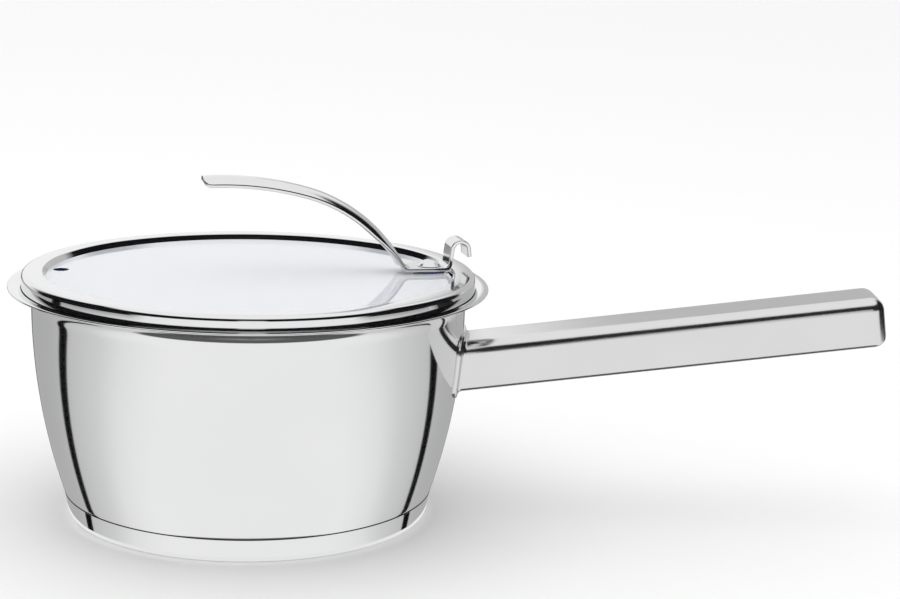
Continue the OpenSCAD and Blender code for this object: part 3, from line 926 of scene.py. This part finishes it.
# What the polished steel reflects. Angles are in degrees, round from the camera's side or over the horizon.
# Brightness of the panels by angle round, below the horizon, and of everything by height
PANELS = ((0, 1.02), (51, 1.02), (64, 0.985), (78, 0.92), (94, 0.765), (113, 0.66), (124, 0.60), (138, 0.52),
          (160, 0.47), (173, 0.45), (178, 0.15), (180, 0.12))
HEIGHTS = ((-90, 0.30), (-78, 0.12), (-61.5, 0.12), (-58, 1.0), (0, 1.0), (90, 1.05))
# How far the panels lean, in half turns, at the horizon and for each quarter turn of height
LEAN, LEAN_BY_HEIGHT = 0.128, 0.44
# Middle, half width and top of the dark gaps between the panels, and the tone of all that is dark
GAP_AT, GAP_WIDE, GAP_TOP = 124.5, 4.6, 54
DARK = (0.004, 0.004, 0.005)
# Middle and half width in height of the dark flag over the camera, and its reach round
FLAG_AT, FLAG_HIGH, FLAG_ROUND = 29, 27, 142
# The flag is thinner low down, to the right of the camera
THIN_FROM, THIN_TO, THIN_UNDER, THIN = -1, 15, 20, 0.72
# Reach round and half height of the dark side flags
SIDE_FROM, SIDE_TO, SIDE_HIGH = 52, 132, 11
# Reach round, middle and half width in height, and tone of the grey card behind the handle
CARD_FROM, CARD_TO, CARD_AT, CARD_HIGH, CARD_TONE = -2.5, 40, 12, 22, 0.58


def studio_world(s):
    """White light all round; polished steel sees panels that dim towards the back, with thin dark gaps."""
    world = bpy.data.worlds.new("Studio")
    world.use_nodes = True
    tree = world.node_tree
    tree.nodes.clear()
    out = put(tree, "ShaderNodeTexCoord").outputs["Generated"]
    x, y, z = (Num(tree, part) for part in put(tree, "ShaderNodeSeparateXYZ", {}, {0: out}).outputs)
    facing = s.view_azimuth - math.pi / 2
    across, ahead = y * math.cos(facing) - x * math.sin(facing), x * math.cos(facing) + y * math.sin(facing)
    share = abs(across.bearing(ahead)) / math.pi
    height = z.arcsine() / (math.pi / 2)
    below = height.until(0, 60)
    leaned = share + below * (LEAN + LEAN_BY_HEIGHT * height)
    panels = put(tree, "ShaderNodeValToRGB", {"stops": [(a / 180, g) for a, g in PANELS]}, {0: leaned})
    shelf = put(tree, "ShaderNodeValToRGB", {"stops": [((a + 90) / 180, g) for a, g in HEIGHTS]},
                {0: height * 0.5 + 0.5})
    gap = leaned.near(GAP_AT / 180, GAP_WIDE / 180, 5) * height.until(GAP_TOP / 90, 20)
    front = x.bearing(y * -1) / math.radians(1)
    thin = front.beyond(THIN_FROM, 0.4) * front.until(THIN_TO, 0.4) * height.until(THIN_UNDER / 90, 30)
    flag = height.near(FLAG_AT / 90, FLAG_HIGH / 90, 4) * share.until(FLAG_ROUND / 180, 12)
    flag = flag * (1 - THIN * thin)
    side = share.beyond(SIDE_FROM / 180, 20) * share.until(SIDE_TO / 180, 20)
    side = side * height.near(0, SIDE_HIGH / 90, 3)
    right = x.bearing(y) / math.radians(1)
    card = right.beyond(CARD_FROM, 0.3) * right.until(CARD_TO, 0.3)
    card = card * height.near(CARD_AT / 90, CARD_HIGH / 90, 2)
    tone = mix_tones(tree, below, (1, 1, 1), panels.outputs[0])
    tone = mix_tones(tree, 1.0, tone, shelf.outputs[0], "MULTIPLY")
    tone = mix_tones(tree, gap.most(flag).most(side), tone, DARK)
    tone = mix_tones(tree, card, tone, (CARD_TONE, CARD_TONE, CARD_TONE))
    glow = put(tree, "ShaderNodeBackground", {}, {"Color": tone, "Strength": 1.0})
    plain = put(tree, "ShaderNodeBackground", {}, {"Color": (1, 1, 1, 1), "Strength": s.light})
    gloss = put(tree, "ShaderNodeLightPath").outputs["Is Glossy Ray"]
    mixed = put(tree, "ShaderNodeMixShader", {}, {0: gloss, 1: plain.outputs[0], 2: glow.outputs[0]})
    put(tree, "ShaderNodeOutputWorld", {}, {"Surface": mixed.outputs[0]})
    return world


def make_glow_disc(s):
    """A white disc on the floor under the base, seen only in the steel's reflections."""
    paint = Paint("Paper")
    light = put(paint.tree, "ShaderNodeEmission", {}, {"Color": (1, 1, 1, 1), "Strength": 0.98})
    put(paint.tree, "ShaderNodeOutputMaterial", {}, {"Surface": light.outputs[0]})
    glow_disc = revolved("Paper", [(0.0, 0.0001), (s.glow_disc, 0.0001)], paint.material, 96)
    glow_disc.visible_camera = glow_disc.visible_diffuse = glow_disc.visible_transmission = False
    glow_disc.visible_shadow = False
    return glow_disc


def make_stage(scene):
    """Camera, floor, soft light and the panels that the polished steel reflects."""
    s = scene.saucepan_stage
    where = Vector((s.distance * math.sin(s.view_azimuth), -s.distance * math.cos(s.view_azimuth), s.height))
    left = s.view_azimuth - s.turn
    level_share = math.cos(s.pitch)
    ahead = Vector((-math.sin(left) * level_share, math.cos(left) * level_share, -math.sin(s.pitch)))
    level = Vector((math.cos(left), math.sin(left), 0))
    upright = level.cross(ahead)
    right = math.cos(s.roll) * level + math.sin(s.roll) * upright
    up = math.cos(s.roll) * upright - math.sin(s.roll) * level
    camera = bpy.data.objects.new("Camera", bpy.data.cameras.new("Camera"))
    scene.collection.objects.link(camera)
    camera.data.lens, camera.data.sensor_width = s.lens, 36
    camera.data.clip_end = 50
    turn = Matrix((right, up, -ahead)).transposed().to_4x4()
    camera.matrix_world = Matrix.Translation(where) @ turn
    scene.camera = camera
    scene.view_settings.view_transform = "Standard"

    paint = Paint("Floor")
    shade = scene.saucepan_finish.floor
    pale = paint.mix(paint.noise(40), shade, tuple(0.99 * c for c in shade))
    finish = paint.shade(Base_Color=pale, Roughness=0.7)
    half = 12
    corners = [(-half, -half, 0), (half, -half, 0), (half, half, 0), (-half, half, 0)]
    floor = mesh_piece("Floor", corners, [(0, 1, 2, 3)], finish)
    floor.visible_glossy = False
    # A glowing disc that paints a pale reflection of floor into the steel under the base.
    make_glow_disc(s)
    scene.world = studio_world(s)
    lamp = bpy.data.lights.new("Softbox", "AREA")
    lamp.shape, lamp.size, lamp.size_y, lamp.energy = "RECTANGLE", 1.6, 1.2, 4
    softbox = bpy.data.objects.new("Softbox", lamp)
    softbox.location = (-0.3, -0.4, 1.6)
    softbox.rotation_euler = (-softbox.location).to_track_quat("-Z", "Y").to_euler()
    softbox.visible_glossy = False
    scene.collection.objects.link(softbox)


STEPS = (
    operator("Stage", "Studio", "Camera, floor and light", make_stage),
    operator("Body", "Pan body", "Drawn body with its flared lip", make_body),
    operator("Base", "Base cap", "Cap under the base", make_base),
    operator("Handle", "Long handle", "Drawn shell of the long handle", make_handle),
    operator("Ring", "Lid ring", "Rolled ring round the glass", make_ring),
    operator("Glass", "Lid glass", "Glass disc with its seal", make_glass),
    operator("Strap", "Strap handle", "Bent strap with its hook", make_strap),
    operator("Stack", "Screw and washers", "Screw, soft washers and steel washer", make_stack),
    operator("Kept", "Kept pieces", "Finishes of the pieces kept as they are", make_hidden),
)
GROUPS = {"pan": PanSettings, "handle": HandleSettings, "lid": LidSettings, "strap": StrapSettings,
          "finish": FinishSettings, "stage": StageSettings}


class SAUCEPAN_PT_panel(bpy.types.Panel):
    """Lists the makers in the 3D view's sidebar"""
    bl_label = "Saucepan"
    bl_idname = "SAUCEPAN_PT_panel"
    bl_space_type = "VIEW_3D"
    bl_region_type = "UI"
    bl_category = "Saucepan"

    def draw(self, context):
        for step in STEPS:
            self.layout.operator(step.bl_idname)


def register():
    for group in (*GROUPS.values(), *STEPS, SAUCEPAN_PT_panel):
        bpy.utils.register_class(group)
    for name, group in GROUPS.items():
        setattr(bpy.types.Scene, "saucepan_" + name, PointerProperty(type=group))


def unregister():
    for name in GROUPS:
        delattr(bpy.types.Scene, "saucepan_" + name)
    for group in reversed((*GROUPS.values(), *STEPS, SAUCEPAN_PT_panel)):
        bpy.utils.unregister_class(group)


def main():
    register()
    for step in STEPS:
        group, name = step.bl_idname.split(".")
        getattr(getattr(bpy.ops, group), name)()


if __name__ == "__main__":
    main()
